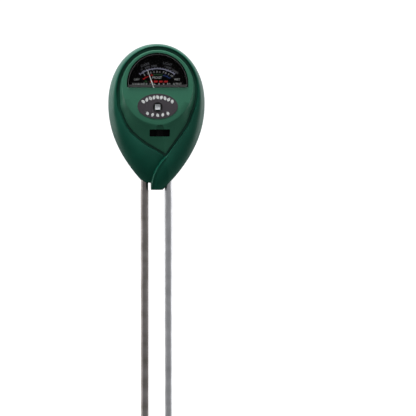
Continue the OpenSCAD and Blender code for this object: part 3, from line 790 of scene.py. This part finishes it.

# This grey ink is painted shade: it stands for the shadow that the window's top edge casts over the
# light scale's words and numbers.
grey_ink_painted_shade = ink("grey_ink_painted_shade", shade(112, 113, 118), shade(138, 139, 144))
light_marks = [("0", 21.9, -28.5, 1, 1.3), ("200", 21.8, -18, 3.7, 1.3)]
light_marks += [("500", 21.8, -6, 3.7, 1.3)]
light_marks += [("1000", 21.8, 19, 4.6, 1.35), ("2000", 21.6, 33.2, 5, 1.35)]
light_marks += [("DARK", 23.9, -19.6, 6.2, 1.75), ("LIGHT", 24, 16.8, 6, 1.75)]
light_words = build("dial_light_words", *[round_pivot(*mark) for mark in light_marks], sharp=60)
dressed(light_words, grey_ink_painted_shade, "head", "dial_print")


def leaning_block(left, right, lean):
    """A printed block of the acidity row, its ends leaning, between two places along X."""
    low, high = PIVOT_Z + 10.6, PIVOT_Z + 11.8
    block = [(left, low), (right, low), (right + lean, high), (left + lean, high)]
    return prism(block, INK_BACK, INK_FRONT)


inner_r, outer_r, tick_r = 15.5, 16.05, 16.7
red_parts = [arc_band(inner_r, outer_r, -36.5, -10.4)]
red_parts += ticks([-36.1, -29, -13.5], outer_r, tick_r, 0.8)
red_parts += [leaning_block(a, b, 0.4) for a, b in ((-5, -3.4), (-2.5, 0), (1, 3.3), (4.3, 6.6))]
green_parts = [arc_band(inner_r, outer_r, -10.4, 13.6), leaning_block(-8, -6.6, -0.7)]
green_parts += ticks([-7.6, -2.2, 3.4, 9.5], outer_r, tick_r)
blue_parts = [arc_band(inner_r, outer_r, 13.6, 32.4)]
blue_parts += ticks([17.8, 24, 32], outer_r, tick_r, 0.8)
for name, parts, dark, light in (
    ("red", red_parts, shade(160, 4, 8), shade(186, 8, 12)),
    ("green", green_parts, shade(12, 54, 18), shade(20, 70, 26)),
    ("blue", blue_parts, shade(14, 44, 96), shade(22, 58, 120)),
):
    stripe = build(f"dial_{name}_marks", *parts, sharp=60)
    dressed(stripe, ink(f"{name}_ink", dark, light), "head", "dial_print")


# ---- Movement -------------------------------------------------------------------------------
# A small moving-coil meter on a cream moulded base: a steel yoke ring round a magnet core, a
# copper coil on an aluminium frame that swings between them, hairsprings and jewel bearings.
cream = moulded("cream_moulding", shade(196, 190, 172), shade(214, 208, 190), rough=0.5)
finish(cream, "meter_base", "probe_clamp")
brass = metal("brass", shade(186, 150, 84), shade(214, 180, 108), stretch=(2400.0, 500.0, 2400.0))
finish(brass, "front_bridge", "zero_lever", "core_screws", "switch_contact", "probe_tags")
bright_screw = metal("bright_screw", shade(178, 178, 180), shade(210, 210, 212), rough=0.22)
finish(bright_screw, "base_screws", "bridge_screws", "board_screws")
finish(bright_screw, "probe_nuts", "balance_weights")
finish(metal("yoke_steel", shade(112, 114, 118), shade(140, 142, 146), rough=0.4), "yoke_ring")
magnet = metal("sintered_magnet", shade(62, 62, 66), shade(84, 84, 88), rough=0.55, scratch=0.3)
finish(magnet, "core_magnet")
spring_bronze = metal("spring_bronze", shade(176, 126, 66), shade(204, 152, 84), rough=0.25)
finish(spring_bronze, "front_hairspring", "rear_hairspring")
finish(metal("pivot_steel", shade(186, 188, 192), shade(206, 208, 212), rough=0.15), "spindle")
rolled = (300.0, 300.0, 3000.0)
aluminium = metal("aluminium", shade(190, 192, 196), shade(212, 214, 218), stretch=rolled)
finish(aluminium, "coil_former")


def ruby(name):
    """Synthetic ruby: deep red with faint growth clouds, polished."""
    material, tree, shader, add = new_material(name)
    where = add("ShaderNodeTexCoord").outputs["Object"]
    cloud = add("ShaderNodeTexNoise", Vector=where, Scale=700.0, Detail=2.0).outputs["Fac"]
    reds = ramp(add, cloud, shade(120, 8, 28), shade(170, 20, 48))
    tree.links.new(reds, shader.inputs["Base Color"])
    shader.inputs["Roughness"].default_value = 0.08
    shader.inputs["IOR"].default_value = 1.76
    return material


finish(ruby("ruby"), "front_jewel", "rear_jewel")


def wound_wire(name, pitch):
    """Enamelled wire wound side by side: a wave across the turns, one period to a wire, colours
    the copper between dark gaps and lifts the bump on each wire."""
    material, tree, shader, add = new_material(name)
    where = add("ShaderNodeTexCoord").outputs["Object"]
    turns = add("ShaderNodeTexWave", Vector=where, Scale=math.pi / 10 / pitch, Distortion=0.4)
    turns.bands_direction = "X"
    wave = turns.outputs["Fac"]
    coppers = ramp(add, wave, shade(92, 36, 14), shade(196, 104, 56), 0.1, 0.6)
    tree.links.new(coppers, shader.inputs["Base Color"])
    bump = add("ShaderNodeBump", Height=wave, Strength=0.6, Distance=0.00005)
    tree.links.new(bump.outputs["Normal"], shader.inputs["Normal"])
    shader.inputs["Metallic"].default_value = 0.7
    shader.inputs["Roughness"].default_value = 0.3
    return material


WIRE_PITCH = 0.14 * MM
finish(wound_wire("copper_winding", WIRE_PITCH), "coil_winding")
needle_dark, needle_light = shade(232, 232, 230), shade(246, 246, 244)
finish(moulded("pointer_white", needle_dark, needle_light, rough=0.5, grain=0.02), "pointer")


# ---- Light cell and label -------------------------------------------------------------------
# A light cell in a white frame looks out through a hole with a black ring. Its die is painted
# near white: a painted reflection of the glare off the cell's face. Round it lies a glossy
# charcoal oval label, printed with a garland of small white leaves.
LABEL_Z = 56.3
LABEL_FRONT = 18.3
finish(moulded("board_green", shade(28, 70, 44), shade(40, 88, 56), rough=0.4), "photocell_board")
frame_white = moulded("cell_frame_white", shade(226, 230, 232), shade(240, 244, 246), rough=0.3)
finish(frame_white, "photocell_frame")
# Painted reflection: the die's near-white colour stands for glare off its face and lifts the shade
# in its recess.
glare_dark, glare_light = shade(226, 228, 230), shade(244, 246, 248)
finish(moulded("cell_die_painted_glare", glare_dark, glare_light, rough=0.15, cloud=900.0), "photocell_die")
label_dark, label_light = shade(54, 49, 54), shade(64, 59, 64)
finish(moulded("label_black", label_dark, label_light, 0.22, 0.03, gloss=0.6), "label_plate")
# The sensor ring is black plastic, and its black is also painted shade for the recess of the cell's
# hole.
black_plastic = moulded("black_plastic", shade(9, 9, 9), shade(17, 17, 17), rough=0.35)
finish(black_plastic, "sensor_ring")


def leaf(x, z, length, width, turn):
    """Half-leaves on both sides of a bare midrib: each edge follows half a sine wave. The leaf
    is turned clockwise from upright and set down with its middle at a place."""
    t = np.linspace(0, 1, 12)
    a = math.radians(turn)
    halves = []
    for side in (-1, 1):
        rib = 0.07 * side
        across = np.concatenate([rib + side * width / 2 * np.sin(np.pi * t) ** 0.9, [rib]])
        up = np.concatenate([length * (t - 0.5), [0]])
        right = x + across * math.cos(a) + up * math.sin(a)
        above = z - across * math.sin(a) + up * math.cos(a)
        outline = np.stack([right, above], axis=1)
        halves.append(prism(outline, -LABEL_FRONT, -LABEL_FRONT - INK_T))
    return halves


garland = []
for reach, count, up, bow, length, width, fan in (
    (9.7, 9, 6, -2.9, 3.0, 1.7, 2.6),
    (6.8, 5, -6, 1.2, 2.7, 1.6, -2),
):
    for k, x in enumerate(np.linspace(-reach, reach, count)):
        z = LABEL_Z + up + bow * (x / reach) ** 2
        garland += leaf(x, z, length, width, fan * x + (24 if k % 2 else -24))
leaves = build("label_leaf_garland", *garland, sharp=60)
leaf_white = ink("leaf_white", shade(205, 208, 206), shade(235, 238, 236))
dressed(leaves, leaf_white, "head", "label_black")


# ---- Switch ---------------------------------------------------------------------------------
# A three-place slide switch in a steel can with tinned pins, and a ribbed black knob
# whose flange covers the slot. The can is coloured near black as painted shade, so that the
# slot stays dark where the can shows through it.
# The knob is black plastic. Its colour, darker than the sensor ring's black, is also painted shade
# for the deep slot it stands in.
knob_black_and_slot_shade = moulded("knob_black_and_slot_shade", shade(3, 3, 3), shade(8, 8, 8), rough=0.5, gloss=0.1)
finish(knob_black_and_slot_shade, "switch_knob")
# Painted shade: the switch's tinned can is given a near-black finish so that the slot looks dark.
finish(metal("switch_can_painted_shade", shade(22, 22, 24), shade(32, 32, 34), rough=0.5), "switch_body")
finish(metal("tinned_steel", shade(150, 152, 154), shade(184, 186, 188), rough=0.35), "switch_pins")


# ---- Circuit board --------------------------------------------------------------------------
# A small tan board behind the switch, with three resistors, a trimmer and two screws.
def paper_board(name):
    """Bonded paper board: fibres from stretched noise in two tans."""
    material, tree, shader, add = new_material(name)
    where = add("ShaderNodeTexCoord").outputs["Object"]
    along = add("ShaderNodeMapping", Vector=where, Scale=(300.0, 300.0, 2400.0)).outputs["Vector"]
    fibres = add("ShaderNodeTexNoise", Vector=along, Scale=1.0, Detail=4.0).outputs["Fac"]
    tans = ramp(add, fibres, shade(150, 112, 62), shade(182, 142, 88))
    tree.links.new(tans, shader.inputs["Base Color"])
    shader.inputs["Roughness"].default_value = 0.45
    return material


finish(paper_board("paper_board"), "circuit_board")
finish(moulded("trimmer_blue", shade(34, 60, 132), shade(46, 74, 152), rough=0.3), "trim_resistor")
tan_dark, tan_light = shade(188, 162, 118), shade(206, 182, 138)
finish(moulded("resistor_tan", tan_dark, tan_light, rough=0.35, cloud=700.0), "resistors")


# ---- Probes ---------------------------------------------------------------------------------
# Two drawn rods with pointed tips, clamped in the neck: one brighter, one darker with a brown
# film. Fine lines run along them from the drawing.
LENGTHWISE = (5200.0, 5200.0, 60.0)
for name, dark, light, scratch, probe in (
    ("darker_rod", shade(128, 122, 118), shade(160, 154, 152), 0.25, "left_probe"),
    ("brighter_rod", shade(182, 182, 184), shade(208, 208, 210), 0.2, "right_probe"),
):
    finish(metal(name, dark, light, 0.36, LENGTHWISE, scratch, 0.2), probe)


# ---- Wires ----------------------------------------------------------------------------------
# Thin flexible leads in black and red from the probes, the coil and the cell to the board.
lead_black = moulded("lead_black", shade(18, 18, 18), shade(28, 28, 28), rough=0.45)
finish(lead_black, "left_probe_wire", "meter_wire_black", "cell_wire_black")
lead_red = moulded("lead_red", shade(168, 20, 22), shade(188, 30, 32), rough=0.45)
finish(lead_red, "right_probe_wire", "meter_wire_red", "cell_wire_red")
